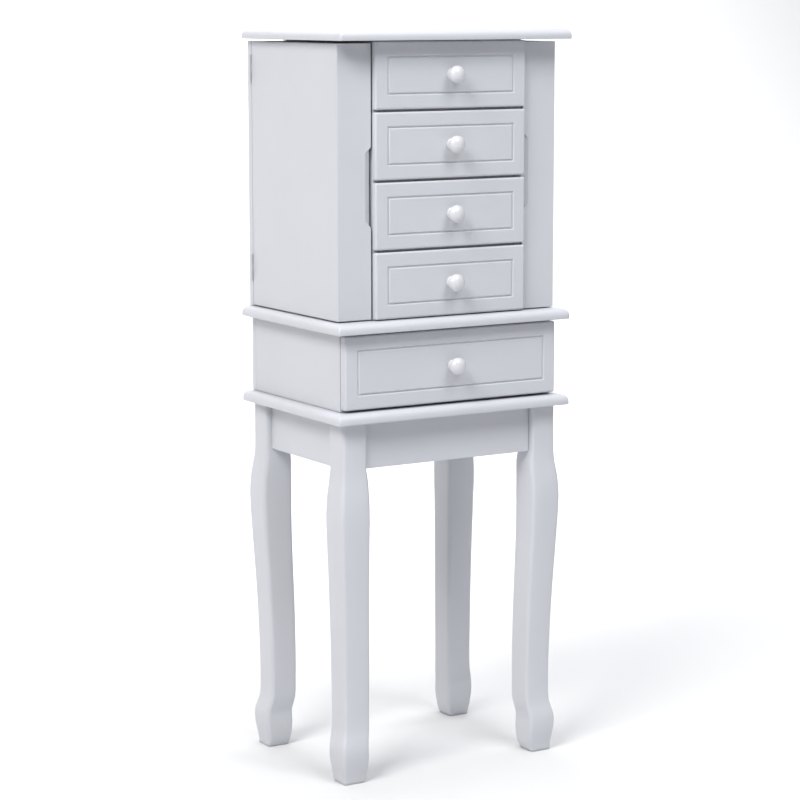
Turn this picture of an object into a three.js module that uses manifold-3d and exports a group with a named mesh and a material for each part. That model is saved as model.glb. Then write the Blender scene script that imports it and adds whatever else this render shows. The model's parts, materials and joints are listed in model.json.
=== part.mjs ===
// A jewelry armoire: a narrow case on four curved legs, with a flip-top lid over a tray, four small
// drawers between two L-shaped swing-out side doors, and one wide drawer in the lower case.
// Millimetres, +Z up, the front faces -Y. The origin is on the floor, under the middle of the object.
import * as THREE from "three";
import { mergeVertices } from "three/addons/utils/BufferGeometryUtils.js";
import Module from "manifold-3d";

const wasm = await Module();
wasm.setup();

// ---- Driving dimensions ----

// Heights, from the floor up
const HEIGHT = 892; // floor to the top of the lid
const LEG_HEIGHT = 437.2; // floor to the underside of the base board
const LOWER_CASE_HEIGHT = 93.2; // between the base board and the waist board
const BOARD_THICK = 12.2; // waist board and base board
const LID_THICK = 12;

// Plan sizes
const CASE_WIDTH = 303; // over the closed side doors
const CASE_DEPTH = 217; // stile face to the back of the back panel
const LOWER_CASE_INSET = 3; // lower case's outer faces, inside the side doors' faces
const BOARD_OVERHANG_SIDE = 10.8; // past the side doors
const BOARD_OVERHANG_FRONT = 22; // past the stile face
const LID_OVERHANG_SIDE = 8.7;
const LID_OVERHANG_FRONT = 24.5;
const LID_SETBACK = 1.5; // the lid's rear edge, in front of the back panel's rear face
const EDGE_RADIUS = 8; // the rounding along the top edge of the lid and the boards
const PLAN_RADIUS = 3; // the rounding of their front corners, seen from above

// Case boards
const PANEL = 9; // thickness of sides, backs, partitions and stiles
const SHELF = 6;
const TRAY_FLOOR = 4.5;
const TRAY_DEPTH = 39; // lid underside to tray floor
const DIVIDER = 4;
const DIVIDER_HEIGHT = 24;
const DIVIDER_FROM_BACK = 76; // back panel to the divider's rear face

// Clearances
const FIT = 0.3; // between pieces that touch
const LID_GAP = 3; // under the lid, over the doors and the back panel
const DOOR_FOOT_GAP = 1.4; // between the waist board and the doors and small fronts
const TOP_FRONT_GAP = 1.1; // under the lid, over the top small front
const REVEAL = 3; // between drawer fronts, and round the large front
const SIDE_REVEAL = 1.2; // between the small fronts and the stiles
const DOOR_SEAM = 0.8; // between a door's rear edge and the back panel
const SLIDE_CLEARANCE = 1.2; // beside a drawer box
const RUN_CLEARANCE = 0.6; // under a drawer box
const HEAD_CLEARANCE = 6; // over a drawer box

// Side doors
const STILE_WIDTH = 46;
const NOTCH_WIDTH = 8.5; // how far the finger notch reaches over the stile's face
const NOTCH_CUT = 4.5; // how deep it is at the stile's edge
const NOTCH_HEIGHT = 93.5;
const NOTCH_OFFSET = 6; // below the middle of the left stile, above the middle of the right one
const RAIL_LENGTH = 150;
const RAIL_HEIGHT = 14;
const RAIL_THICK = 5;
const RAIL_DROP = 24; // top of the door to the top of the hook rail
const HOOKS = 6;
const HOOK_PITCH = 25;
const HOOK_WIDTH = 3.5;
const HOOK_REACH = 15;
const HOOK_RISE = 9;
const HOOK_BAR = 3; // thickness of a hook's arm

// Drawers
const SMALL_DRAWERS = 4;
const SMALL_FRONT_PROUD = 7.5; // small front faces, in front of the stiles
const LARGE_FRONT_PROUD = 10.6;
const FRONT_SEAT = 0.4; // rear of the fronts, behind the stiles' face
const FRONT_OVERLAP = 1.2; // small front past the partition, each side
const FRONT_EDGE_RADIUS = 2.5;
const GROOVE_INSET = 17.8; // front edge to the middle of the routed groove
const GROOVE_WIDTH = 3.4;
const GROOVE_DEPTH = 1.6;
const BOX_WALL = 6;
const BOX_BOTTOM = 3;
const BOX_END_CLEARANCE = 4; // behind a drawer box
const LARGE_FRONT_INSET = 0.7; // wide front, inside the lower case's outer faces

// Knob
const KNOB_LENGTH = 19;
const KNOB_RADIUS = 10.6;
const KNOB_BALL_HALF = 7.6; // half the ball's length along the knob
const KNOB_FLANGE_RADIUS = 7.2;
const KNOB_NECK_RADIUS = 4.6;

// Legs and aprons
const LEG_SIZE = 33.5; // square section at the top
const LEG_CORNER = 4;
const LEG_FRONT = 8.5; // leg's front face, in front of the stile face
const LEG_BACK = 4; // leg's rear face, in front of the back panel's rear face
const LEG_INSET = 1.5; // leg's outer face, inside the side doors' faces
const APRON_HEIGHT = 57;
const APRON_THICK = 15;
const APRON_RECESS = 7.4; // apron face, behind the leg face
const BLOCK_HEIGHT = 40;
const BLOCK_REACH = 31;
// [share of the height under the apron, outward shift of the outer faces, section's growth]
const LEG_PROFILE = [
  [0, -1.5, -5.5],
  [0.025, -0.8, -1.5],
  [0.077, 2.3, 3.4],
  [0.12, 2.3, 3.2],
  [0.165, -2, 1.9],
  [0.216, -2.9, 1.5],
  [0.347, -2.3, 2.2],
  [0.504, -0.5, 3.2],
  [0.66, 2.4, 4.8],
  [0.782, 4.7, 6.5],
  [0.853, 5.4, 7.3],
  [0.914, 4, 5.8],
  [0.964, 1.2, 2.9],
  [1, 0.2, 0.1],
];
const LEG_LEVELS = 26;

// Hinges
const KNUCKLE_RADIUS = 1.7;
const PIN_RADIUS = 0.7;
const LEAF_THICK = 0.9;
const LEAF_REACH = 10; // hinge axis to the leaf's far edge
const MORTISE = 1; // depth of the recess for a door hinge leaf
const DOOR_HINGE_LENGTH = 32;
const DOOR_HINGE_KNUCKLES = 3;
const DOOR_HINGE_TOP = 16; // door's top edge to the upper hinge
const DOOR_HINGE_BOTTOM = 31; // door's bottom edge to the lower hinge
const LID_HINGE_LENGTH = 200;
const LID_HINGE_KNUCKLES = 9;

// Tray fittings
const MIRROR_THICK = 2.5;
const MIRROR_MARGIN = 14; // mirror's edge to the tray's walls
const CUSHION_HEIGHT = 23;
const CUSHION_CLEARANCE = 0.9;

const CURVE_SEGMENTS = 5;
const ROUND_SEGMENTS = 24;
const HINGE_SEGMENTS = 16;

// ---- Places worked out from them ----

const front = -CASE_DEPTH / 2; // stile face
const back = CASE_DEPTH / 2; // rear face of the back panel
const backInner = back - PANEL;
const caseSide = CASE_WIDTH / 2;
const lowerSide = caseSide - LOWER_CASE_INSET;

const baseTop = LEG_HEIGHT + BOARD_THICK;
const waistBottom = baseTop + LOWER_CASE_HEIGHT;
const waistTop = waistBottom + BOARD_THICK;
const lidBottom = HEIGHT - LID_THICK;
const rimTop = lidBottom - FIT;
const doorTop = lidBottom - LID_GAP;
const doorBottom = waistTop + DOOR_FOOT_GAP;

const frontRear = front + FRONT_SEAT;
const smallFrontSide = caseSide - STILE_WIDTH - SIDE_REVEAL;
const partitionOuter = smallFrontSide - FRONT_OVERLAP;
const partitionInner = partitionOuter - PANEL;
const partitionFront = frontRear + 2 * FIT;
const trayFloorTop = lidBottom - TRAY_DEPTH;
const trayFloorBottom = trayFloorTop - TRAY_FLOOR;

const smallTop = lidBottom - TOP_FRONT_GAP;
const smallHeight =
  (smallTop - doorBottom - (SMALL_DRAWERS - 1) * REVEAL) / SMALL_DRAWERS;
const smallPitch = smallHeight + REVEAL;

// ---- Materials ----

const finish = (color, roughness, metalness = 0) => () =>
  new THREE.MeshStandardMaterial({ color, roughness, metalness });
const lacquer = finish(0xe4e4e9, 0.42);
const knobPaint = finish(0xf0f0f3, 0.3);
const plastic = finish(0xdcdcdf, 0.4);
const felt = finish(0x2b2b2e, 0.95);
const mirrorGlass = finish(0xd9dde0, 0.04, 0.9);
const steel = finish(0xb9babd, 0.3, 0.9);
const paintedSteel = finish(0xe4e4e9, 0.4);

// ---- Helpers ----

function addMesh(parent, name, geometry, material, x = 0, y = 0, z = 0) {
  const mesh = new THREE.Mesh(geometry, material());
  mesh.name = name;
  mesh.position.set(x, y, z);
  parent.add(mesh);
  return mesh;
}

const middle = (span) => (span[0] + span[1]) / 2;
const length = (span) => span[1] - span[0];

// A plain board: x, y and z are its [low, high] along each axis.
function addBoard(parent, name, material, x, y, z) {
  const geometry = new THREE.BoxGeometry(length(x), length(y), length(z));
  return addMesh(parent, name, geometry, material, middle(x), middle(y), middle(z));
}

const box = (x, y, z) =>
  new THREE.BoxGeometry(length(x), length(y), length(z)).translate(
    middle(x),
    middle(y),
    middle(z),
  );

// A solid that can be joined and cut, and the way back to a geometry.
function solid(geometry) {
  geometry.deleteAttribute("normal");
  geometry.deleteAttribute("uv");
  const merged = mergeVertices(geometry, 1e-4);
  return new wasm.Manifold(
    new wasm.Mesh({
      numProp: 3,
      vertProperties: merged.attributes.position.array,
      triVerts: new Uint32Array(merged.index.array),
    }),
  );
}

function geometryOf(made) {
  const mesh = made.getMesh();
  const geometry = new THREE.BufferGeometry();
  geometry.setAttribute("position", new THREE.BufferAttribute(mesh.vertProperties, 3));
  geometry.setIndex(new THREE.BufferAttribute(mesh.triVerts, 1));
  return geometry;
}

const polygon = (points) => new THREE.Shape(points.map(([a, b]) => new THREE.Vector2(a, b)));

// An outline pushed along an axis, between two places on it. Along Y the outline is drawn in (x, z),
// along X in (y, z), and along Z in (x, y).
const AXES = {
  x: new THREE.Matrix4().makeBasis(
    new THREE.Vector3(0, 1, 0),
    new THREE.Vector3(0, 0, 1),
    new THREE.Vector3(1, 0, 0),
  ),
  y: new THREE.Matrix4().makeBasis(
    new THREE.Vector3(1, 0, 0),
    new THREE.Vector3(0, 0, 1),
    new THREE.Vector3(0, -1, 0),
  ),
  z: new THREE.Matrix4(),
};

function extrude(shape, axis, span) {
  const geometry = new THREE.ExtrudeGeometry(shape, {
    depth: length(span),
    bevelEnabled: false,
    curveSegments: CURVE_SEGMENTS,
  });
  geometry.applyMatrix4(AXES[axis]);
  const start = axis === "y" ? span[1] : span[0];
  const shift = { x: [start, 0, 0], y: [0, start, 0], z: [0, 0, start] }[axis];
  return geometry.translate(...shift);
}

// ---- Lid, waist board and base board ----

// The outline of a board's edge: its top corners are rounded where their flag is set.
function edgeOutline(span, thick, roundLow, roundHigh) {
  const shape = new THREE.Shape();
  const [low, high] = span;
  const shoulder = thick - EDGE_RADIUS;
  shape.moveTo(low, 0);
  shape.lineTo(high, 0);
  if (roundHigh) {
    shape.lineTo(high, shoulder);
    shape.absarc(high - EDGE_RADIUS, shoulder, EDGE_RADIUS, 0, Math.PI / 2, false);
  } else {
    shape.lineTo(high, thick);
  }
  if (roundLow) {
    shape.lineTo(low + EDGE_RADIUS, thick);
    shape.absarc(low + EDGE_RADIUS, shoulder, EDGE_RADIUS, Math.PI / 2, Math.PI, false);
  } else {
    shape.lineTo(low, thick);
  }
  shape.closePath();
  return shape;
}

// Seen from above: square at the back, rounded at the two front corners.
function planOutline(side, span) {
  const [low, high] = span;
  const shape = new THREE.Shape();
  shape.moveTo(side, high);
  shape.lineTo(-side, high);
  shape.lineTo(-side, low + PLAN_RADIUS);
  shape.absarc(-side + PLAN_RADIUS, low + PLAN_RADIUS, PLAN_RADIUS, Math.PI, 1.5 * Math.PI, false);
  shape.lineTo(side - PLAN_RADIUS, low);
  shape.absarc(side - PLAN_RADIUS, low + PLAN_RADIUS, PLAN_RADIUS, 1.5 * Math.PI, 2 * Math.PI, false);
  shape.closePath();
  return shape;
}

function mouldedBoard(side, span, thick) {
  const acrossWidth = solid(extrude(edgeOutline([-side, side], thick, true, true), "y", span));
  const acrossDepth = solid(extrude(edgeOutline(span, thick, true, false), "x", [-side, side]));
  const plan = solid(extrude(planOutline(side, span), "z", [0, thick]));
  return geometryOf(acrossWidth.intersect(acrossDepth).intersect(plan));
}

// ---- Hinges ----

// One leaf of a butt hinge. The axis is local Z, the leaf reaches towards local -X, and its side is
// +1 for the leaf over the axis (+Y) and -1 for the leaf under it. The leaf under it holds the pin.
function hingeLeaf(hingeLength, knuckles, seam, side) {
  const outer = side * (seam / 2 - FIT);
  const inner = outer - side * LEAF_THICK;
  const across = [Math.min(inner, outer), Math.max(inner, outer)];
  const clear = -(KNUCKLE_RADIUS + FIT);
  const round = (radius, span) =>
    new THREE.CylinderGeometry(radius, radius, length(span), HINGE_SEGMENTS)
      .rotateX(Math.PI / 2)
      .translate(0, 0, middle(span));
  let leaf = solid(box([-LEAF_REACH, clear], across, [0, hingeLength]));
  const step = hingeLength / knuckles;
  for (let i = side > 0 ? 1 : 0; i < knuckles; i += 2) {
    const span = [i * step + (i ? FIT / 2 : 0), (i + 1) * step - (i < knuckles - 1 ? FIT / 2 : 0)];
    leaf = leaf.add(solid(round(KNUCKLE_RADIUS, span)));
    leaf = leaf.add(solid(box([clear - FIT, 0], across, span)));
  }
  if (side > 0)
    return geometryOf(leaf.subtract(solid(round(PIN_RADIUS + FIT, [-1, hingeLength + 1]))));
  return geometryOf(leaf.add(solid(round(PIN_RADIUS, [FIT, hingeLength - FIT]))));
}

// ---- Drawers ----

// A front: its face has rounded edges and a routed V groove in a rectangle with mitred corners.
function drawerFront(width, thick, height) {
  const w = width / 2 - FRONT_EDGE_RADIUS;
  const h = height / 2 - FRONT_EDGE_RADIUS;
  const rounded = new THREE.ExtrudeGeometry(polygon([[-w, -h], [w, -h], [w, h], [-w, h]]), {
    depth: thick,
    bevelThickness: FRONT_EDGE_RADIUS,
    bevelSize: FRONT_EDGE_RADIUS,
    bevelSegments: 3,
  });
  // The outline is in (x, z) and the face is at y = 0, towards -Y.
  rounded.applyMatrix4(AXES.y).translate(0, thick + FRONT_EDGE_RADIUS, 0);
  const behind = [thick, 2 * thick + 2 * FRONT_EDGE_RADIUS];
  let made = solid(rounded).subtract(
    solid(box([-width, width], behind, [-height, height])),
  );
  const runs = [
    [width - 2 * GROOVE_INSET, height / 2 - GROOVE_INSET, 0],
    [height - 2 * GROOVE_INSET, width / 2 - GROOVE_INSET, Math.PI / 2],
    [width - 2 * GROOVE_INSET, height / 2 - GROOVE_INSET, Math.PI],
    [height - 2 * GROOVE_INSET, width / 2 - GROOVE_INSET, -Math.PI / 2],
  ];
  for (const [run, away, turn] of runs) {
    const cutter = grooveCutter(run).translate(0, 0, away).rotateY(turn);
    made = made.subtract(solid(cutter));
  }
  return geometryOf(made);
}

// A V prism along X, its outer side towards +Z, with its ends mitred.
function grooveCutter(run) {
  const over = 1; // stands out of the face, so that the cut is clean
  const half = (GROOVE_WIDTH / 2) * (1 + over / GROOVE_DEPTH);
  const outline = polygon([[-over, -half], [GROOVE_DEPTH, 0], [-over, half]]);
  const geometry = extrude(outline, "x", [-run / 2, run / 2]);
  const at = geometry.attributes.position;
  for (let i = 0; i < at.count; i++)
    at.setX(i, Math.sign(at.getX(i)) * (run / 2 + at.getZ(i)));
  return geometry;
}

// A turned knob: a small flange, a neck and a ball. Its foot is at y = 0 and it points to -Y.
function knobGeometry() {
  const ball = KNOB_LENGTH - KNOB_BALL_HALF;
  const start = Math.asin(KNOB_NECK_RADIUS / KNOB_RADIUS);
  const points = [
    [0, 0],
    [KNOB_FLANGE_RADIUS, 0],
    [KNOB_FLANGE_RADIUS, 0.8],
    [KNOB_NECK_RADIUS + 0.8, 1.6],
    [KNOB_NECK_RADIUS, 2.8],
  ];
  const steps = 9;
  for (let i = 0; i < steps; i++) {
    const angle = start + ((Math.PI - start) * i) / steps;
    points.push([KNOB_RADIUS * Math.sin(angle), ball - KNOB_BALL_HALF * Math.cos(angle)]);
  }
  points.push([0, KNOB_LENGTH]);
  const outline = points.map(([r, y]) => new THREE.Vector2(r, y));
  return new THREE.LatheGeometry(outline, ROUND_SEGMENTS).rotateX(Math.PI);
}

// A drawer: front, box and knob. The box is one glued piece: sides, front, back and bottom.
function addDrawer(name, side, proud, z, boxSide, boxZ) {
  const drawer = new THREE.Group();
  const mid = middle(z);
  const frontFace = front - proud;
  const made = drawerFront(2 * side, proud + FRONT_SEAT, length(z));
  addMesh(drawer, `${name}_front`, made, lacquer, 0, frontFace, mid);
  const boxY = [frontRear + FIT, backInner - BOX_END_CLEARANCE];
  const outer = solid(box([-boxSide, boxSide], boxY, boxZ));
  const inside = solid(
    box(
      [-boxSide + BOX_WALL, boxSide - BOX_WALL],
      [boxY[0] + BOX_WALL, boxY[1] - BOX_WALL],
      [boxZ[0] + BOX_BOTTOM, boxZ[1] + 1],
    ),
  );
  addMesh(drawer, `${name}_box`, geometryOf(outer.subtract(inside)), lacquer);
  addMesh(drawer, `${name}_knob`, knobGeometry(), knobPaint, 0, frontFace - FIT, mid);
  root.add(drawer);
}

// ---- Legs ----

// A curved leg with a rounded square section. Its top outer corner is over local (0, 0), the outer
// faces look to +X and +Y, and the foot is on z = 0.
function legGeometry() {
  const free = LEG_HEIGHT - APRON_HEIGHT;
  const knots = LEG_PROFILE.map(
    ([share, out, growth]) => new THREE.Vector3(out, LEG_SIZE + growth, share * free),
  );
  const curve = new THREE.CatmullRomCurve3(knots, false, "centripetal");
  const levels = curve.getPoints(LEG_LEVELS);
  levels.push(new THREE.Vector3(0, LEG_SIZE, free + APRON_HEIGHT * 0.2));
  levels.push(new THREE.Vector3(0, LEG_SIZE, LEG_HEIGHT - FIT));
  const corner = LEG_CORNER / LEG_SIZE;
  const reach = 0.5 - corner;
  const section = new THREE.Shape();
  section.moveTo(0.5, -reach);
  section.absarc(reach, reach, corner, 0, Math.PI / 2, false);
  section.absarc(-reach, reach, corner, Math.PI / 2, Math.PI, false);
  section.absarc(-reach, -reach, corner, Math.PI, 1.5 * Math.PI, false);
  section.absarc(reach, -reach, corner, 1.5 * Math.PI, 2 * Math.PI, false);
  const steps = levels.length - 1;
  const geometry = new THREE.ExtrudeGeometry(section, {
    depth: 1,
    steps,
    bevelEnabled: false,
    curveSegments: 3,
  });
  const at = geometry.attributes.position;
  for (let i = 0; i < at.count; i++) {
    const level = levels[Math.round(at.getZ(i) * steps)];
    const inward = level.x - level.y / 2;
    at.setXYZ(i, inward + at.getX(i) * level.y, inward + at.getY(i) * level.y, level.z);
  }
  return geometry;
}

// ---- The armoire ----

const root = new THREE.Group();

const legSide = caseSide - LEG_INSET;
const legPlaces = { front: front - LEG_FRONT, rear: back - LEG_BACK };
for (const [end, y] of Object.entries(legPlaces)) {
  for (const [hand, way] of [["left", -1], ["right", 1]]) {
    const leg = addMesh(root, `leg_${end}_${hand}`, legGeometry(), lacquer, way * legSide, y, 0);
    leg.scale.set(way, end === "front" ? -1 : 1, 1);
  }
}

const apronZ = [LEG_HEIGHT - APRON_HEIGHT, LEG_HEIGHT - FIT];
const legInner = legSide - LEG_SIZE;
const apronX = [-(legInner - FIT), legInner - FIT];
const apronY = [legPlaces.front + LEG_SIZE + FIT, legPlaces.rear - LEG_SIZE - FIT];
const frontApronFace = legPlaces.front + APRON_RECESS;
const rearApronFace = legPlaces.rear - APRON_RECESS;
const sideApronFace = legSide - APRON_RECESS;
addBoard(root, "apron_front", lacquer, apronX, [frontApronFace, frontApronFace + APRON_THICK], apronZ);
addBoard(root, "apron_rear", lacquer, apronX, [rearApronFace - APRON_THICK, rearApronFace], apronZ);
addBoard(root, "apron_left", lacquer, [-sideApronFace, APRON_THICK - sideApronFace], apronY, apronZ);
addBoard(root, "apron_right", lacquer, [sideApronFace - APRON_THICK, sideApronFace], apronY, apronZ);

// Corner blocks fill the corner between two aprons, round the leg's inner corner.
const sideApronInner = sideApronFace - APRON_THICK - FIT;
for (const [end, apronFace, inwards] of [
  ["front", frontApronFace, 1],
  ["rear", rearApronFace, -1],
]) {
  const apronInner = apronFace + inwards * (APRON_THICK + FIT);
  const legEdge = legPlaces[end] + inwards * (LEG_SIZE + FIT);
  for (const [hand, way] of [["left", -1], ["right", 1]]) {
    const outline = polygon([
      [way * sideApronInner, legEdge + inwards * BLOCK_REACH],
      [way * sideApronInner, legEdge],
      [way * (legInner - FIT), legEdge],
      [way * (legInner - FIT), apronInner],
      [way * (legInner - FIT - BLOCK_REACH), apronInner],
    ]);
    const block = extrude(outline, "z", [0, BLOCK_HEIGHT]);
    addMesh(root, `corner_block_${end}_${hand}`, block, lacquer, 0, 0, apronZ[1] - BLOCK_HEIGHT);
  }
}

const boardSide = caseSide + BOARD_OVERHANG_SIDE;
const boardY = [front - BOARD_OVERHANG_FRONT, back];
addMesh(root, "base_board", mouldedBoard(boardSide, boardY, BOARD_THICK), lacquer, 0, 0, LEG_HEIGHT);
addMesh(root, "waist_board", mouldedBoard(boardSide, boardY, BOARD_THICK), lacquer, 0, 0, waistBottom);

// Lower case
const lowerZ = [baseTop + FIT, waistBottom - FIT];
const lowerY = [partitionFront, backInner - FIT];
addBoard(root, "lower_side_left", lacquer, [-lowerSide, PANEL - lowerSide], lowerY, lowerZ);
addBoard(root, "lower_side_right", lacquer, [lowerSide - PANEL, lowerSide], lowerY, lowerZ);
addBoard(root, "lower_back", lacquer, [-lowerSide, lowerSide], [backInner, back], lowerZ);

// Upper case
const partitionY = [partitionFront, backInner - FIT];
const partitionZ = [waistTop + FIT, rimTop];
addBoard(root, "partition_left", lacquer, [-partitionOuter, -partitionInner], partitionY, partitionZ);
addBoard(root, "partition_right", lacquer, [partitionInner, partitionOuter], partitionY, partitionZ);

const innerX = [FIT - partitionInner, partitionInner - FIT];
const shelfTops = [waistTop];
for (let i = 1; i < SMALL_DRAWERS; i++) {
  const seam = doorBottom + i * smallPitch - REVEAL / 2;
  shelfTops.push(seam + SHELF / 2);
  addBoard(root, `shelf_${i}`, lacquer, innerX, partitionY, [seam - SHELF / 2, seam + SHELF / 2]);
}
addBoard(root, "tray_floor", lacquer, innerX, partitionY, [trayFloorBottom, trayFloorTop]);

const trayZ = [trayFloorTop + FIT, rimTop];
addBoard(root, "tray_front_rail", lacquer, innerX, [partitionFront, partitionFront + PANEL], trayZ);
const dividerY = [backInner - DIVIDER_FROM_BACK - DIVIDER, backInner - DIVIDER_FROM_BACK];
const dividerZ = [trayZ[0], trayZ[0] + DIVIDER_HEIGHT];
addBoard(root, "tray_divider", lacquer, innerX, dividerY, dividerZ);
const cushionX = [CUSHION_CLEARANCE - partitionInner, partitionInner - CUSHION_CLEARANCE];
const trayInnerFront = partitionFront + PANEL;
const cushionY = [trayInnerFront + CUSHION_CLEARANCE, dividerY[0] - CUSHION_CLEARANCE];
addBoard(root, "ring_cushion", felt, cushionX, cushionY, [trayZ[0], trayZ[0] + CUSHION_HEIGHT]);

// Door hinges: the axis stands outside the seam between the door's rear edge and the back panel.
const doorRear = backInner - DOOR_SEAM;
const doorAxisX = caseSide + KNUCKLE_RADIUS + FIT + 0.1;
const doorAxisY = (doorRear + backInner) / 2;
const doorHingeSeam = DOOR_SEAM + 2 * MORTISE;
const hingeStarts = {
  top: doorTop - DOOR_HINGE_TOP - DOOR_HINGE_LENGTH,
  bottom: doorBottom + DOOR_HINGE_BOTTOM,
};
const mortiseX = [doorAxisX - LEAF_REACH - FIT, caseSide + 1];

function mortiseCutters(way, y) {
  const x = way > 0 ? mortiseX : [-mortiseX[1], -mortiseX[0]];
  return Object.values(hingeStarts).map((z) =>
    solid(box(x, y, [z - FIT, z + DOOR_HINGE_LENGTH + FIT])),
  );
}

let upperBack = solid(
  box([-caseSide, caseSide], [backInner, back], [waistTop + FIT, lidBottom - LID_GAP]),
);
for (const way of [-1, 1])
  for (const cutter of mortiseCutters(way, [backInner - 1, backInner + MORTISE]))
    upperBack = upperBack.subtract(cutter);
addMesh(root, "upper_back", geometryOf(upperBack), lacquer);

// Side doors. The stile and the panel meet in a mitre at the front corner.
for (const [hand, way] of [["left", -1], ["right", 1]]) {
  const door = new THREE.Group();
  const doorZ = [doorBottom, doorTop];
  const stileEdge = caseSide - STILE_WIDTH;
  const panelInner = caseSide - PANEL;
  const mitreGap = FIT * Math.SQRT2;

  const stilePlan = polygon([
    [way * caseSide, front],
    [way * stileEdge, front],
    [way * stileEdge, front + PANEL],
    [way * panelInner, front + PANEL],
  ]);
  const notchMiddle = middle(doorZ) + way * NOTCH_OFFSET;
  const notchTall = NOTCH_HEIGHT / 2;
  const notchOutline = polygon([
    [way * (stileEdge - 1), notchMiddle - notchTall - 1],
    [way * (stileEdge + NOTCH_WIDTH), notchMiddle - notchTall + NOTCH_WIDTH],
    [way * (stileEdge + NOTCH_WIDTH), notchMiddle + notchTall - NOTCH_WIDTH],
    [way * (stileEdge - 1), notchMiddle + notchTall + 1],
  ]);
  const notchPlan = polygon([
    [way * (stileEdge - 1), front - 1],
    [way * (stileEdge + NOTCH_WIDTH), front - 1],
    [way * (stileEdge + NOTCH_WIDTH), front],
    [way * (stileEdge - 1), front + NOTCH_CUT * (1 + 1 / NOTCH_WIDTH)],
  ]);
  const notch = solid(extrude(notchOutline, "y", [front - 1, front + PANEL])).intersect(
    solid(extrude(notchPlan, "z", doorZ)),
  );
  const stile = solid(extrude(stilePlan, "z", doorZ)).subtract(notch);
  addMesh(door, `door_${hand}_stile`, geometryOf(stile), lacquer);

  const panelPlan = polygon([
    [way * caseSide, front + mitreGap],
    [way * caseSide, doorRear],
    [way * panelInner, doorRear],
    [way * panelInner, front + PANEL + mitreGap],
  ]);
  let panel = solid(extrude(panelPlan, "z", doorZ));
  for (const cutter of mortiseCutters(way, [doorRear - MORTISE, doorRear + 1]))
    panel = panel.subtract(cutter);
  addMesh(door, `door_${hand}_panel`, geometryOf(panel), lacquer);

  // Hook rail: a bar with upturned hooks, fixed high on the inside of the panel.
  const railTop = doorTop - RAIL_DROP;
  const railOuter = panelInner - FIT;
  const railFace = railOuter - RAIL_THICK;
  const railX = way > 0 ? [railFace, railOuter] : [-railOuter, -railFace];
  let rail = solid(box(railX, [-RAIL_LENGTH / 2, RAIL_LENGTH / 2], [railTop - RAIL_HEIGHT, railTop]));
  const low = railTop - RAIL_HEIGHT + 2;
  const tip = railFace - HOOK_REACH;
  const hookOutline = polygon([
    [way * (railFace + 1), low],
    [way * (tip + HOOK_BAR), low],
    [way * tip, low + HOOK_BAR],
    [way * tip, low + HOOK_RISE + HOOK_BAR],
    [way * (tip + HOOK_BAR), low + HOOK_RISE + HOOK_BAR],
    [way * (tip + HOOK_BAR), low + 1.5 * HOOK_BAR],
    [way * (tip + 1.5 * HOOK_BAR), low + HOOK_BAR],
    [way * (railFace + 1), low + HOOK_BAR],
  ]);
  for (let i = 0; i < HOOKS; i++) {
    const y = (i - (HOOKS - 1) / 2) * HOOK_PITCH;
    rail = rail.add(solid(extrude(hookOutline, "y", [y - HOOK_WIDTH / 2, y + HOOK_WIDTH / 2])));
  }
  addMesh(door, `door_${hand}_hook_rail`, geometryOf(rail), plastic);

  // The moving leaf lies on the door's side of the axis (-Y), the fixed leaf on the back panel's.
  for (const [end, z] of Object.entries(hingeStarts)) {
    for (const [leafName, side, owner] of [["moving", 1, door], ["fixed", -1, root]]) {
      const leaf = hingeLeaf(DOOR_HINGE_LENGTH, DOOR_HINGE_KNUCKLES, doorHingeSeam, side);
      const name = `door_${hand}_hinge_${end}_${leafName}`;
      const mesh = addMesh(owner, name, leaf, paintedSteel, way * doorAxisX, doorAxisY, z);
      mesh.scale.set(way, -1, 1);
    }
  }
  root.add(door);
}

// Small drawers, numbered from the top
const boxSide = partitionInner - SLIDE_CLEARANCE;
for (let i = 0; i < SMALL_DRAWERS; i++) {
  const bottom = doorBottom + i * smallPitch;
  const ceiling = i < SMALL_DRAWERS - 1 ? shelfTops[i + 1] - SHELF : trayFloorBottom;
  const boxZ = [shelfTops[i] + RUN_CLEARANCE, ceiling - HEAD_CLEARANCE];
  const name = `small_drawer_${SMALL_DRAWERS - i}`;
  const frontZ = [bottom, bottom + smallHeight];
  addDrawer(name, smallFrontSide, SMALL_FRONT_PROUD, frontZ, boxSide, boxZ);
}

// Large drawer
const largeZ = [baseTop + REVEAL, waistBottom - REVEAL];
const largeBoxZ = [baseTop + RUN_CLEARANCE, waistBottom - HEAD_CLEARANCE];
const largeBoxSide = lowerSide - PANEL - SLIDE_CLEARANCE;
const largeFrontSide = lowerSide - LARGE_FRONT_INSET;
addDrawer("large_drawer", largeFrontSide, LARGE_FRONT_PROUD, largeZ, largeBoxSide, largeBoxZ);

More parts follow.
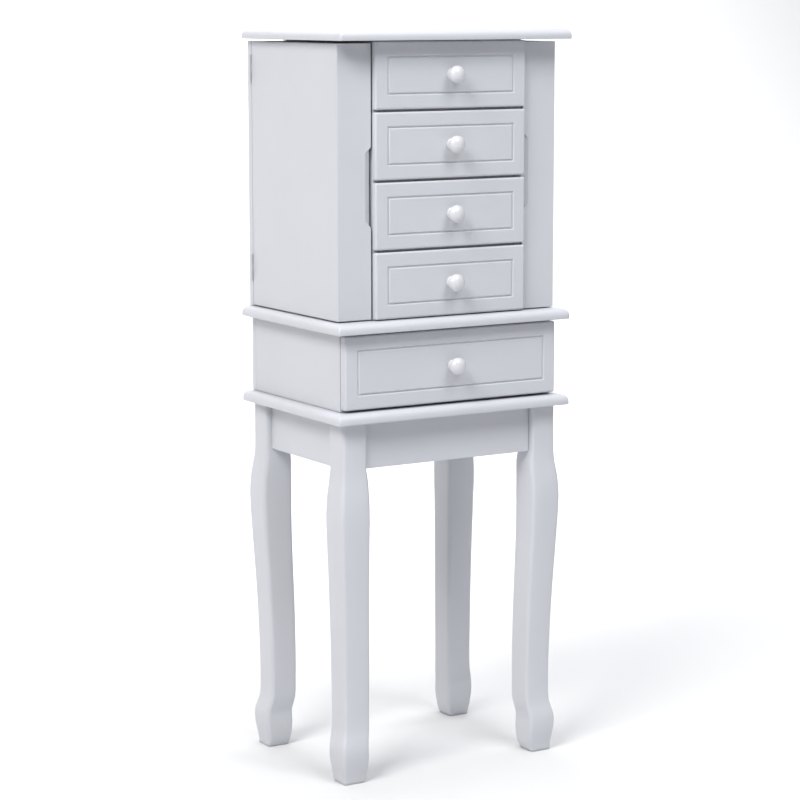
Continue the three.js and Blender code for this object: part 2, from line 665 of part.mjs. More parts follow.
// Lid, with the mirror on its underside and a long hinge at its rear edge
const lid = new THREE.Group();
const lidSide = caseSide + LID_OVERHANG_SIDE;
const lidY = [front - LID_OVERHANG_FRONT, back - LID_SETBACK];
addMesh(lid, "lid_board", mouldedBoard(lidSide, lidY, LID_THICK), lacquer, 0, 0, lidBottom);
const mirrorSide = partitionInner - MIRROR_MARGIN;
addBoard(
  lid,
  "lid_mirror",
  mirrorGlass,
  [-mirrorSide, mirrorSide],
  [trayInnerFront + MIRROR_MARGIN, backInner - MIRROR_MARGIN],
  [lidBottom - FIT - MIRROR_THICK, lidBottom - FIT],
);
const lidAxisY = back + KNUCKLE_RADIUS + FIT + 0.1;
const lidAxisZ = lidBottom - LID_GAP / 2;
for (const [leafName, side, owner] of [["moving", 1, lid], ["fixed", -1, root]]) {
  const leaf = hingeLeaf(LID_HINGE_LENGTH, LID_HINGE_KNUCKLES, LID_GAP, side);
  // Local Z becomes world -X, local -X becomes world -Y, and local Y becomes world Z.
  leaf.applyMatrix4(
    new THREE.Matrix4().makeBasis(
      new THREE.Vector3(0, 1, 0),
      new THREE.Vector3(0, 0, 1),
      new THREE.Vector3(1, 0, 0),
    ),
  );
  addMesh(owner, `lid_hinge_${leafName}`, leaf, steel, -LID_HINGE_LENGTH / 2, lidAxisY, lidAxisZ);
}
root.add(lid);

// The origin is half-way between the foremost knob's tip and the lid hinge's knuckles.
const proudest = Math.max(SMALL_FRONT_PROUD, LARGE_FRONT_PROUD);
const foremost = front - proudest - FIT - KNOB_LENGTH;
const rearmost = lidAxisY + KNUCKLE_RADIUS;
root.position.y = -(foremost + rearmost) / 2;

const armoire = new THREE.Group();
armoire.add(root);

export default armoire;
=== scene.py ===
"""The looks of a jewelry armoire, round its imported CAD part. Metres, +Z up, fronts face -Y."""

import json
import math

import bmesh
import bpy
from mathutils import Euler, Matrix, Vector


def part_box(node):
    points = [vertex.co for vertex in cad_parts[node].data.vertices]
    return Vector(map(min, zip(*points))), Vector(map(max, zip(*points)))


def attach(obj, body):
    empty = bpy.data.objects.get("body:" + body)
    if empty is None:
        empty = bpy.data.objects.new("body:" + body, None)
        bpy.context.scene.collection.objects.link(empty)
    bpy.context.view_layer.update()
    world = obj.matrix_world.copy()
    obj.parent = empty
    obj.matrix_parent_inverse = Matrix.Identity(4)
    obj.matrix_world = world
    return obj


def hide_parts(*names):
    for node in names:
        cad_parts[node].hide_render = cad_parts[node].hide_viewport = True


bl_info = {
    "name": "Jewelry armoire",
    "version": (1, 0, 0),
    "blender": (4, 5, 0),
    "location": "View3D > Sidebar > Armoire",
    "description": "Builds the looks of a jewelry armoire round its CAD part",
    "category": "Object",
}

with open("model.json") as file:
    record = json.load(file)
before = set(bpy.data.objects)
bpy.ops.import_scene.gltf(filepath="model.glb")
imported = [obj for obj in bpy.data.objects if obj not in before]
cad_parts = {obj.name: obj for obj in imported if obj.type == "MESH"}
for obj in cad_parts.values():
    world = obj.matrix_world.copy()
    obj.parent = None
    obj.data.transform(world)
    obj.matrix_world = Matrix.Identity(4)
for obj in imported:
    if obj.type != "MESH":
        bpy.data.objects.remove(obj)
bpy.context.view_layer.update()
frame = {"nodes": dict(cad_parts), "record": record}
NODES = frame["nodes"]
DRAWERS = [f"small_drawer_{number}" for number in (1, 2, 3, 4)] + ["large_drawer"]
HANDS = {"left": -1, "right": 1}
PLAIN_BOARDS = (
    "lower_side_left",
    "lower_side_right",
    "lower_back",
    "upper_back",
    "partition_left",
    "partition_right",
    "shelf_1",
    "shelf_2",
    "shelf_3",
    "tray_floor",
    "tray_front_rail",
    "tray_divider",
)

GAP = 0.0001  # between pieces that touch, so that their faces stay apart
TIP = 0.00001  # radius that stands for a point or a sharp corner
SAME_PLACE = 1e-6  # corners nearer than this are one
LINING_DROP = 0.003  # from the top of the walls down to the top of a felt lining


# ---- Settings ----


def size(name, default, description):
    """A length setting, in metres."""
    return bpy.props.FloatProperty(
        name=name, description=description, default=default, min=0, unit="LENGTH", precision=4
    )


def share(name, default, description):
    """A setting from 0 to 1."""
    return bpy.props.FloatProperty(
        name=name, description=description, default=default, min=0, max=1, subtype="FACTOR"
    )


def colour(name, default, description):
    """A colour setting, in linear red, green and blue."""
    return bpy.props.FloatVectorProperty(
        name=name, description=description, default=default, size=3, min=0, max=1, subtype="COLOR"
    )


class ARMOIRE_PG_finish(bpy.types.PropertyGroup):
    """Colours and surface of each finish."""

    lacquer: colour("Lacquer", (0.548, 0.559, 0.594), "Satin lacquer on the case, doors and fronts")
    lacquer_roughness: share("Lacquer roughness", 0.42, "How matt the lacquer is")
    knob: colour("Knobs", (0.6, 0.608, 0.634), "Gloss lacquer on the knobs")
    knob_roughness: share("Knob roughness", 0.24, "How matt the knobs are")
    felt: colour("Felt", (0.018, 0.018, 0.021), "Felt in the drawers, tray and necklace spaces")
    plastic: colour("Hooks", (0.74, 0.74, 0.75), "Moulded necklace hooks")
    nickel: colour("Hinges", (0.56, 0.55, 0.53), "Nickel plate on the hinges and screws")
    mirror: colour("Mirror", (0.86, 0.88, 0.89), "Silvered glass under the lid")


class ARMOIRE_PG_shape(bpy.types.PropertyGroup):
    """Small shapes that the CAD part leaves out."""

    edge: size("Board edges", 0.0007, "Rounding along the edges of plain boards")
    door_edge: size("Door edges", 0.0012, "Rounding along the edges of the side doors")
    mould: size("Moulding", 0.008, "Radius of the rounded edge of the lid and the two boards")
    plan: size("Board corners", 0.003, "Radius of the boards' front corners, seen from above")
    front_edge: size("Front edges", 0.0025, "Rounding round a drawer front's face")
    groove_inset: size("Groove inset", 0.0178, "Front's edge to the middle of the routed groove")
    groove_width: size("Groove width", 0.0034, "Width of the routed groove")
    groove_depth: size("Groove depth", 0.0017, "Depth of the routed groove")
    wall: size("Box wall", 0.006, "Thickness of a drawer box's sides, front and back")
    bottom: size("Box bottom", 0.003, "Thickness of a drawer box's bottom")
    felt: size("Felt thickness", 0.0012, "Thickness of the felt linings")
    leg_corner: size("Leg corners", 0.0045, "Rounding along a leg's corners")
    rolls: bpy.props.IntProperty(
        name="Ring rolls", description="Rolls in the ring cushion", default=7, min=2, max=14
    )


class ARMOIRE_PG_stage(bpy.types.PropertyGroup):
    """Floor, lights and camera."""

    floor: colour("Floor", (0.68, 0.68, 0.685), "Plain floor that sweeps up behind")
    room_low: share("Room light, low", 0.13, "Strength of the even light at the horizon")
    room_high: share("Room light, high", 0.66, "Strength of the even light overhead")
    lens: bpy.props.FloatProperty(
        name="Lens", description="Focal length in millimetres", default=115.5, min=10
    )
    camera: bpy.props.FloatVectorProperty(
        name="Camera",
        description="Where the camera stands",
        default=(-1.6243, -2.6608, 0.9228),
        size=3,
        subtype="TRANSLATION",
        unit="LENGTH",
    )
    turn: bpy.props.FloatVectorProperty(
        name="Camera angles",
        description="Tilt up from level, roll, and turn from the front",
        default=(math.radians(-8.8), math.radians(-0.05), math.radians(-31.26)),
        size=3,
        subtype="EULER",
        unit="ROTATION",
    )


def finish_settings():
    """The scene's colours and surfaces."""
    return bpy.context.scene.armoire_finish


def shape_settings():
    """The scene's small shapes."""
    return bpy.context.scene.armoire_shape


# ---- Materials ----


def new_material(name):
    """An empty node material, its node tree, its shader and its object-space coordinates."""
    material = bpy.data.materials.new(name)
    material.use_nodes = True
    tree = material.node_tree
    shader = next(n for n in tree.nodes if n.type == "BSDF_PRINCIPLED")
    coords = tree.nodes.new("ShaderNodeTexCoord")
    return material, tree, shader, coords.outputs["Object"]


def noise(tree, coords, scale, detail=3.0, stretch=None):
    """A noise texture's factor. Scale is in features per metre."""
    source = coords
    if stretch:
        mapping = tree.nodes.new("ShaderNodeMapping")
        mapping.inputs["Scale"].default_value = stretch
        tree.links.new(coords, mapping.inputs["Vector"])
        source = mapping.outputs["Vector"]
    texture = tree.nodes.new("ShaderNodeTexNoise")
    texture.inputs["Scale"].default_value = scale
    texture.inputs["Detail"].default_value = detail
    tree.links.new(source, texture.inputs["Vector"])
    return texture.outputs["Fac"]


def between(tree, factor, low, high, start=0.3, end=0.7):
    """A number that runs from low to high as the factor does from start to end."""
    node = tree.nodes.new("ShaderNodeMapRange")
    node.inputs["From Min"].default_value = start
    node.inputs["From Max"].default_value = end
    node.inputs["To Min"].default_value = low
    node.inputs["To Max"].default_value = high
    tree.links.new(factor, node.inputs["Value"])
    return node.outputs["Result"]


def tint(tree, factor, color, spread):
    """The colour, made lighter and darker by a share of itself as the factor changes."""
    ramp = tree.nodes.new("ShaderNodeValToRGB")
    ramp.color_ramp.elements[0].position = 0.3
    ramp.color_ramp.elements[1].position = 0.7
    for element, by in zip(ramp.color_ramp.elements, (1 - spread, 1 + spread)):
        element.color = (*[min(1, c * by) for c in color], 1)
    tree.links.new(factor, ramp.inputs["Fac"])
    return ramp.outputs["Color"]


def bump(tree, shader, factor, strength, distance):
    """Makes the shader's surface rise and fall with the factor."""
    node = tree.nodes.new("ShaderNodeBump")
    node.inputs["Strength"].default_value = strength
    node.inputs["Distance"].default_value = distance
    tree.links.new(factor, node.inputs["Height"])
    tree.links.new(node.outputs["Normal"], shader.inputs["Normal"])


def lacquer_material(name, color, roughness, coat):
    """Sprayed lacquer: faint clouding, faintly uneven gloss and an orange-peel surface."""
    material, tree, shader, coords = new_material(name)
    cloud = noise(tree, coords, 9)
    tree.links.new(tint(tree, cloud, color, 0.012), shader.inputs["Base Color"])
    worn = noise(tree, coords, 34, 4)
    gloss = between(tree, worn, roughness - 0.03, roughness + 0.03)
    tree.links.new(gloss, shader.inputs["Roughness"])
    shader.inputs["Coat Weight"].default_value = coat
    shader.inputs["Coat Roughness"].default_value = 0.3
    bump(tree, shader, noise(tree, coords, 650, 2), 0.03, 0.0002)
    return material


def felt_material(name, color):
    """Short felt: a mottled nap with a soft sheen."""
    material, tree, shader, coords = new_material(name)
    nap = noise(tree, coords, 900, 5)
    tree.links.new(tint(tree, nap, color, 0.45), shader.inputs["Base Color"])
    shader.inputs["Roughness"].default_value = 0.95
    shader.inputs["Sheen Weight"].default_value = 0.25
    shader.inputs["Sheen Roughness"].default_value = 0.5
    bump(tree, shader, noise(tree, coords, 1600, 6), 0.5, 0.0006)
    return material


def metal_material(name, color, roughness, spread):
    """Plated metal with fine, faint streaks."""
    material, tree, shader, coords = new_material(name)
    streaks = noise(tree, coords, 260, 4, (1, 1, 6))
    tree.links.new(tint(tree, streaks, color, spread), shader.inputs["Base Color"])
    gloss = between(tree, streaks, roughness * 0.8, roughness * 1.25)
    tree.links.new(gloss, shader.inputs["Roughness"])
    shader.inputs["Metallic"].default_value = 1
    return material


def plastic_material(name, color):
    """Moulded plastic with a faint grain."""
    material, tree, shader, coords = new_material(name)
    cloud = noise(tree, coords, 40)
    tree.links.new(tint(tree, cloud, color, 0.015), shader.inputs["Base Color"])
    gloss = between(tree, noise(tree, coords, 120), 0.28, 0.36)
    tree.links.new(gloss, shader.inputs["Roughness"])
    bump(tree, shader, noise(tree, coords, 900), 0.04, 0.0003)
    return material


def floor_material(name, color):
    """Matt floor with faint clouding."""
    material, tree, shader, coords = new_material(name)
    cloud = noise(tree, coords, 1.3)
    tree.links.new(tint(tree, cloud, color, 0.006), shader.inputs["Base Color"])
    shader.inputs["Roughness"].default_value = 0.9
    shader.inputs["Specular IOR Level"].default_value = 0.15
    return material


def make_materials():
    """Every finish by name, with the record's slot it belongs to."""
    f = finish_settings()
    box_shade = 0.97
    box_color = [c * box_shade for c in f.lacquer]
    return {
        "lacquer": lacquer_material("white_lacquer", f.lacquer, f.lacquer_roughness, 0.08),
        "box_board": lacquer_material("box_lacquer", box_color, 0.5, 0.0),
        "knob": lacquer_material("knob_lacquer", f.knob, f.knob_roughness, 0.3),
        "felt": felt_material("charcoal_felt", f.felt),
        "hook_plastic": plastic_material("hook_plastic", f.plastic),
        "hinge_painted": lacquer_material("painted_steel", f.lacquer, 0.4, 0.0),
        "hinge": metal_material("nickel", f.nickel, 0.3, 0.08),
        "mirror": metal_material("silvered_glass", f.mirror, 0.02, 0.01),
    }


MATERIALS = {}


# ---- Pieces ----


def add_piece(name, mesh, body, slot, stands_for=()):
    """A piece that rides on a CAD body and takes its finish from the record's slot of that name."""
    piece = bpy.data.objects.new(name, mesh)
    bpy.context.scene.collection.objects.link(piece)
    mesh.materials.clear()
    mesh.materials.append(MATERIALS[slot])
    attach(piece, body)
    if stands_for:
        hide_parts(*stands_for)
    return piece


def smooth(mesh, angle=32):
    """Smooth shading that keeps edges sharper than the angle, in degrees, and the end caps flat."""
    mesh.shade_smooth()
    mesh.set_sharp_from_angle(angle=math.radians(angle))
    for face in mesh.polygons:
        face.use_smooth = len(face.vertices) <= 4


def mesh_from(name, make):
    """A mesh that the function make(bm) fills."""
    bm = bmesh.new()
    make(bm)
    bmesh.ops.remove_doubles(bm, verts=bm.verts, dist=SAME_PLACE)
    bmesh.ops.recalc_face_normals(bm, faces=bm.faces)
    mesh = bpy.data.meshes.new(name)
    bm.to_mesh(mesh)
    bm.free()
    return mesh


def soften(piece, width, segments=2):
    """Rounds a piece's sharp edges."""
    piece.data.shade_smooth()
    bevel = piece.modifiers.new("Edges", "BEVEL")
    bevel.width = width
    bevel.segments = segments
    bevel.limit_method = "ANGLE"
    bevel.angle_limit = math.radians(30)
    bevel.harden_normals = True
    return piece


def add_board(name, low, high, body, slot, stands_for=(), edge=None):
    """A plain board with eased edges, between two corners."""
    low, high = Vector(low), Vector(high)

    def make(bm):
        bmesh.ops.create_cube(bm, size=1)
        for v in bm.verts:
            v.co = (low + high) / 2 + Vector(a * b for a, b in zip(v.co, high - low))

    piece = add_piece(name, mesh_from(name, make), body, slot, stands_for)
    return soften(piece, shape_settings().edge if edge is None else edge)


def loft(name, rings, angle=32):
    """A closed mesh through rings of points, with a flat cap at each end."""

    def make(bm):
        rows = [[bm.verts.new(p) for p in ring] for ring in rings]
        count = len(rings[0])
        for a, b in zip(rows, rows[1:]):
            for i in range(count):
                j = (i + 1) % count
                bm.faces.new((a[i], a[j], b[j], b[i]))
        bm.faces.new(rows[0])
        bm.faces.new(rows[-1])

    mesh = mesh_from(name, make)
    smooth(mesh, angle)
    return mesh


def round_rectangle(low, high, radius, steps=4):
    """A rectangle's outline as (a, b) points, with rounded corners that never quite meet."""
    (a0, b0), (a1, b1) = low, high
    parts = 2.01
    r = max(min(radius, (a1 - a0) / parts, (b1 - b0) / parts), TIP)
    corners = (
        (a1 - r, b1 - r, 0),
        (a0 + r, b1 - r, 90),
        (a0 + r, b0 + r, 180),
        (a1 - r, b0 + r, 270),
    )
    points = []
    for a, b, start in corners:
        for i in range(steps + 1):
            t = math.radians(start + 90 * i / steps)
            points.append((a + r * math.cos(t), b + r * math.sin(t)))
    return points


def arc(radius, steps):
    """Points (inset, drop) of a quarter round, from the side of an edge to its flat."""
    for i in range(steps + 1):
        t = math.pi / 2 * i / steps
        yield radius * (1 - math.cos(t)), radius * (1 - math.sin(t))


def lathe(name, outline, foot, axis, steps=48):
    """A turned solid: outline is (radius, distance from the foot along the axis)."""
    turn = Vector((0, 0, 1)).rotation_difference(Vector(axis)).to_matrix()
    foot = Vector(foot)
    rings = []
    for radius, along in outline:
        ring = []
        for i in range(steps):
            t = 2 * math.pi * i / steps
            ring.append(foot + turn @ Vector((radius * math.cos(t), radius * math.sin(t), along)))
        rings.append(ring)
    return loft(name, rings, angle=40)


def tube(name, path, radius, steps=14):
    """A round rod along a path in one plane, with domed ends."""
    points = [Vector(p) for p in path]
    last = len(points) - 1
    normal = (points[1] - points[0]).cross(points[-1] - points[0]).normalized()
    dome = [0.35, 0.75, 1]
    rings = []
    for i, p in enumerate(points):
        along = (points[min(i + 1, last)] - points[max(i - 1, 0)]).normalized()
        side = along.cross(normal).normalized()
        widths = dome if i == 0 else dome[::-1] if i == last else [1]
        outwards = -along if i == 0 else along if i == last else Vector()
        for width in widths:
            step = outwards * (radius * math.sqrt(1 - width * width))
            ring = []
            for j in range(steps):
                t = 2 * math.pi * j / steps
                across = side * math.cos(t) + normal * math.sin(t)
                ring.append(p + step + across * radius * width)
            rings.append(ring)
    return loft(name, rings, angle=50)


# ---- The pieces of the armoire ----


def add_moulded_board(node, body):
    """A board with a rounded top edge at the front and the sides, and a crisp lower edge."""
    s = shape_settings()
    low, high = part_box(node)
    crisp, least = 0.0006, 0.0003  # the lower edge's easing, and the smallest corner radius
    profile = [(crisp, 0.0), (crisp / 3, crisp / 3), (0.0, crisp)]
    top = high.z - low.z
    profile += [(inset, top - drop) for inset, drop in arc(s.mould, 10)]
    rings = []
    for inset, up in profile:
        rear = crisp if inset >= crisp else 0
        x = high.x - inset
        y = low.y + inset
        r = max(s.plan - inset, least)
        ring = [(x, high.y - rear), (-x, high.y - rear)]
        for start, side in ((180, -1), (270, 1)):
            for i in range(6):
                t = math.radians(start + 90 * i / 5)
                ring.append((side * (x - r) + r * math.cos(t), y + r + r * math.sin(t)))
        rings.append([(a, b, low.z + up) for a, b in ring])
    add_piece(f"{node}_moulded", loft(node, rings), body, "lacquer", [node])


def add_node_board(node):
    """A plain board of the frame, as large as its CAD node."""
    low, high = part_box(node)
    add_board(f"{node}_board", low, high, "frame", "lacquer", [node])


def cut(mesh, points):
    """The mesh with the convex solid round these points taken out of it."""

    def make(bm):
        made = [bm.verts.new(p) for p in points]
        bmesh.ops.convex_hull(bm, input=made)

    tool = bpy.data.objects.new("tool", mesh_from("tool", make))
    work = bpy.data.objects.new("work", mesh)
    for helper in (tool, work):
        bpy.context.scene.collection.objects.link(helper)
    modifier = work.modifiers.new("Cut", "BOOLEAN")
    modifier.operation = "DIFFERENCE"
    modifier.solver = "EXACT"
    modifier.object = tool
    graph = bpy.context.evaluated_depsgraph_get()
    made = bpy.data.meshes.new_from_object(work.evaluated_get(graph))
    for helper in (tool, work):
        bpy.data.objects.remove(helper)
    return made


def add_door(hand, way):
    """A side door in one seamless piece: panel, front stile and finger notch."""
    s = shape_settings()
    body = f"door_{hand}"
    panel_low, panel_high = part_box(f"door_{hand}_panel")
    stile_low, stile_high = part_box(f"door_{hand}_stile")
    face, inner = stile_low.y, stile_high.y
    outside = max(abs(stile_low.x), abs(stile_high.x))
    edge = min(abs(stile_low.x), abs(stile_high.x))
    inside = min(abs(panel_low.x), abs(panel_high.x))
    bottom, top = stile_low.z, stile_high.z
    plan = [
        (edge, face),
        (outside, face),
        (outside, panel_high.y),
        (inside, panel_high.y),
        (inside, inner),
        (edge, inner),
    ]
    mesh = loft(body, [[(way * x, y, z) for x, y in plan] for z in (bottom, top)])
    # The notch is read from the stile's own corners: on its face, and along its inner edge.
    clear, near, short = 0.004, 0.00001, 0.0001  # what tells those corners from the others
    corners = [v.co for v in NODES[f"door_{hand}_stile"].data.vertices]
    deep = [p for p in corners if edge + clear < abs(p.x) < inside - clear]
    reach = max(abs(p.x) for p in deep) - edge
    ends = [min(p.z for p in deep), max(p.z for p in deep)]
    on_edge = [p for p in corners if abs(p.x) < edge + near]
    depth = max(p.y for p in on_edge if p.y < inner - short) - face
    over = 0.002  # how far the cutting solid stands out of the stile
    slope = 1 + over / reach
    points = []
    for z, along in zip(ends, (-1, 1)):
        far = z + along * (reach + over)
        points += [(edge + reach, face - over, z), (edge + reach, face, z)]
        points += [(edge - over, face - over, far), (edge - over, face + depth * slope, far)]
    mesh = cut(mesh, [(way * x, y, z) for x, y, z in points])
    stands_for = [f"door_{hand}_panel", f"door_{hand}_stile"]
    shell = add_piece(f"door_{hand}_shell", mesh, body, "lacquer", stands_for)
    soften(shell, s.door_edge, 3)
    shell.modifiers["Edges"].angle_limit = math.radians(15)  # the notch's slope is shallow


def add_front(drawer):
    """A drawer front: rounded face edges and a routed groove in a rectangle."""
    s = shape_settings()
    node = f"{drawer}_front"
    low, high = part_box(node)
    face = low.y
    half = s.groove_width / 2
    # One side of the groove's section, as shares of half its width and of its depth.
    groove = [(-1.45, 0), (-1.25, 0), (-1.0, 0.06), (-0.72, 0.3), (-0.3, 0.9)]
    groove += [(0, 1), *[(-across, depth) for across, depth in reversed(groove)]]
    rear_edge, ring_width, corner = 0.0007, 0.0004, 0.0018
    thick = high.y - face
    profile = [(rear_edge, thick), (0, thick - rear_edge)]
    profile += [*arc(s.front_edge, 6), (s.front_edge + ring_width, 0)]
    profile += [(s.groove_inset + half * a, s.groove_depth * b) for a, b in groove]
    rings = []
    for inset, depth in profile:
        start, end = (low.x + inset, low.z + inset), (high.x - inset, high.z - inset)
        outline = round_rectangle(start, end, corner - inset / 2)
        rings.append([(x, face + depth, z) for x, z in outline])
    add_piece(f"{node}_routed", loft(node, rings, angle=24), drawer, "lacquer", [node])


def add_knob(drawer):
    """A turned knob: flange, neck and a flattened ball."""
    node = f"{drawer}_knob"
    low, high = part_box(node)
    ball = (high.x - low.x) / 2
    long = high.y - low.y
    half = long * 0.4
    neck = ball * 0.434
    flange = ball * 0.68
    eased, thick = 0.0002, 0.0008  # the flange's rounded corner and its thickness
    outline = [(TIP, 0), (flange - eased, 0), (flange, eased), (flange, thick)]
    outline += [(ball * 0.64, 0.0012), (ball * 0.54, 0.0017), (ball * 0.46, 0.0024), (neck, 0.0032)]
    start = math.asin(neck / ball)
    steps = 24
    for i in range(steps):
        t = start + (math.pi - start) * i / steps
        outline.append((ball * math.sin(t), long - half - half * math.cos(t)))
    outline.append((TIP, long))
    foot = ((low.x + high.x) / 2, high.y, (low.z + high.z) / 2)
    add_piece(f"{node}_turned", lathe(node, outline, foot, (0, -1, 0)), drawer, "knob", [node])


def add_knob_screw(drawer):
    """The pan-head screw that holds a knob, where the drawer box is tall enough to show it."""
    s = shape_settings()
    low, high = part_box(f"{drawer}_knob")
    box_low, box_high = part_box(f"{drawer}_box")
    x, z = (low.x + high.x) / 2, (low.z + high.z) / 2
    below, above = 0.008, 0.005  # room between the screw and the box's bottom and top
    if not box_low.z + below < z < box_high.z - above:
        return
    radius, head = 0.0035, 0.0016
    outline = [(TIP, 0), (radius, 0), (radius, head * 0.45), (radius * 0.8, head * 0.85)]
    outline += [(radius * 0.45, head), (TIP, head)]
    name = f"{drawer}_knob_screw"
    at = (x, box_low.y + s.wall + GAP + s.felt, z)
    add_piece(name, lathe(name, outline, at, (0, 1, 0), 24), drawer, "hinge")


def add_box(drawer):
    """A drawer box: two sides, a front and a back between them, a bottom and a felt lining."""
    s = shape_settings()
    node = f"{drawer}_box"
    low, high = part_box(node)
    w = s.wall
    x0, x1 = low.x + w + GAP, high.x - w - GAP
    y0, y1 = low.y + w + GAP, high.y - w - GAP
    boards = {
        "side_left": (low, (low.x + w, high.y, high.z)),
        "side_right": ((high.x - w, low.y, low.z), high),
        "front": ((x0, low.y, low.z), (x1, low.y + w, high.z)),
        "back": ((x0, high.y - w, low.z), (x1, high.y, high.z)),
        "bottom": ((x0, y0, low.z), (x1, y1, low.z + s.bottom)),
    }
    for board, (start, end) in boards.items():
        stands_for = [node] if board == "side_left" else ()
        add_board(f"{node}_{board}", start, end, drawer, "box_board", stands_for)
    inner_low = Vector((low.x + w, low.y + w, low.z + s.bottom))
    inner_high = Vector((high.x - w, high.y - w, high.z))
    add_liner(f"{drawer}_felt", inner_low, inner_high - Vector((0, 0, LINING_DROP)), drawer)


def add_liner(name, low, high, body):
    """A felt lining: an open tray of felt, laid against the walls and the bottom."""
    t = shape_settings().felt
    corner = 0.001
    # The section as (distance from the wall, height): up the wall, over the rounded top, down again
    # and in along the bottom.
    section = [
        (GAP, low.z + GAP),
        (GAP, high.z - t / 2),
        (GAP + t / 4, high.z - t / 8),
        (GAP + t / 2, high.z),
        (GAP + t * 3 / 4, high.z - t / 8),
        (GAP + t, high.z - t / 2),
        (GAP + t, low.z + GAP + 2 * t),
        (GAP + t * 1.3, low.z + GAP + t * 1.3),
        (GAP + 2 * t, low.z + GAP + t),
    ]
    rings = []
    for inset, z in section:
        start, end = (low.x + inset, low.y + inset), (high.x - inset, high.y - inset)
        rings.append([(x, y, z) for x, y in round_rectangle(start, end, corner)])
    add_piece(name, loft(name, rings, angle=60), body, "felt")


def hermite(xs, ys, x):
    """A smooth curve through points, read at x."""
    i = max(j for j in range(len(xs) - 1) if xs[j] <= x or j == 0)

    def slope(j):
        a, b = max(j - 1, 0), min(j + 1, len(xs) - 1)
        return (ys[b] - ys[a]) / (xs[b] - xs[a])

    h = xs[i + 1] - xs[i]
    t = (x - xs[i]) / h
    return (
        (2 * t**3 - 3 * t**2 + 1) * ys[i]
        + (t**3 - 2 * t**2 + t) * h * slope(i)
        + (3 * t**2 - 2 * t**3) * ys[i + 1]
        + (t**3 - t**2) * h * slope(i + 1)
    )


def add_leg(node):
    """A curved leg: a rounded square section carried smoothly through the CAD leg's levels."""
    s = shape_settings()
    levels = {}
    for v in NODES[node].data.vertices:
        x0, x1, y0, y1 = levels.get(round(v.co.z, 5), (1, -1, 1, -1))
        sides = (min(x0, v.co.x), max(x1, v.co.x), min(y0, v.co.y), max(y1, v.co.y))
        levels[round(v.co.z, 5)] = sides
    heights = sorted(levels)
    columns = [[levels[z][k] for z in heights] for k in range(4)]
    bottom, knee, top = heights[0], heights[-2], heights[-1]
    full = columns[1][-1] - columns[0][-1]
    eased = 0.0012  # the rounding under the foot
    steps = 96
    zs = [bottom + (knee - bottom) * i / steps for i in range(steps + 1)] + [top]
    zs.insert(1, bottom + eased)
    rings = []
    for i, z in enumerate(zs):
        x0, x1, y0, y1 = (hermite(heights, column, z) for column in columns)
        inset = eased if i == 0 else 0
        radius = s.leg_corner * (x1 - x0) / full
        outline = round_rectangle((x0 + inset, y0 + inset), (x1 - inset, y1 - inset), radius, 6)
        rings.append([(x, y, z) for x, y in outline])
    add_piece(f"{node}_turned", loft(node, rings, angle=60), "frame", "lacquer", [node])


def add_cushion():
    """The ring cushion: foam rolls side by side under one felt cover."""
    s = shape_settings()
    low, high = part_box("ring_cushion")
    roll = (high.y - low.y) / s.rolls
    tall = high.z - low.z
    foot, steps, fullness = 0.0015, 12, 0.8
    top = [(low.y + foot, low.z), (low.y, low.z + foot)]
    for i in range(s.rolls):
        middle = low.y + (i + 0.5) * roll
        for k in range(steps + 1):
            t = math.pi * (1 - k / steps)
            y = middle + (roll / 2 - GAP) * math.cos(t)
            top.append((y, low.z + tall - roll / 2 * (1 - math.sin(t) ** fullness)))
    top += [(high.y, low.z + foot), (high.y - foot, low.z)]
    # The rounded ends, as (distance from the end, share of the full height).
    stations = [(0, 0.9), (0.0006, 0.95), (0.002, 0.99)]
    count = 24
    span = high.x - low.x
    along = [(low.x + a, width) for a, width in stations]
    along += [(low.x + span * i / count, 1) for i in range(1, count)]
    along += [(high.x - a, width) for a, width in reversed(stations)]
    rings = [[(x, y, low.z + (z - low.z) * width) for y, z in top] for x, width in along]
    mesh = loft("ring_cushion", rings, angle=60)
    piece = add_piece("ring_cushion_rolls", mesh, "frame", "felt", ["ring_cushion"])


def add_mirror():
    """The lid's mirror: glass with a wide bevel round its lower face."""
    low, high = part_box("lid_mirror")
    bevel, corner = 0.012, 0.003
    ease, side, rim = 0.0004, 0.0009, 0.0006  # of the glass's lower corner, above its lower face
    rings = []
    for inset, z in ((0, high.z), (0, low.z + side), (ease, low.z + rim), (bevel, low.z)):
        start, end = (low.x + inset, low.y + inset), (high.x - inset, high.y - inset)
        rings.append([(x, y, z) for x, y in round_rectangle(start, end, corner)])
    mesh = loft("lid_mirror", rings, angle=2)
    add_piece("lid_mirror_bevelled", mesh, "lid", "mirror", ["lid_mirror"])


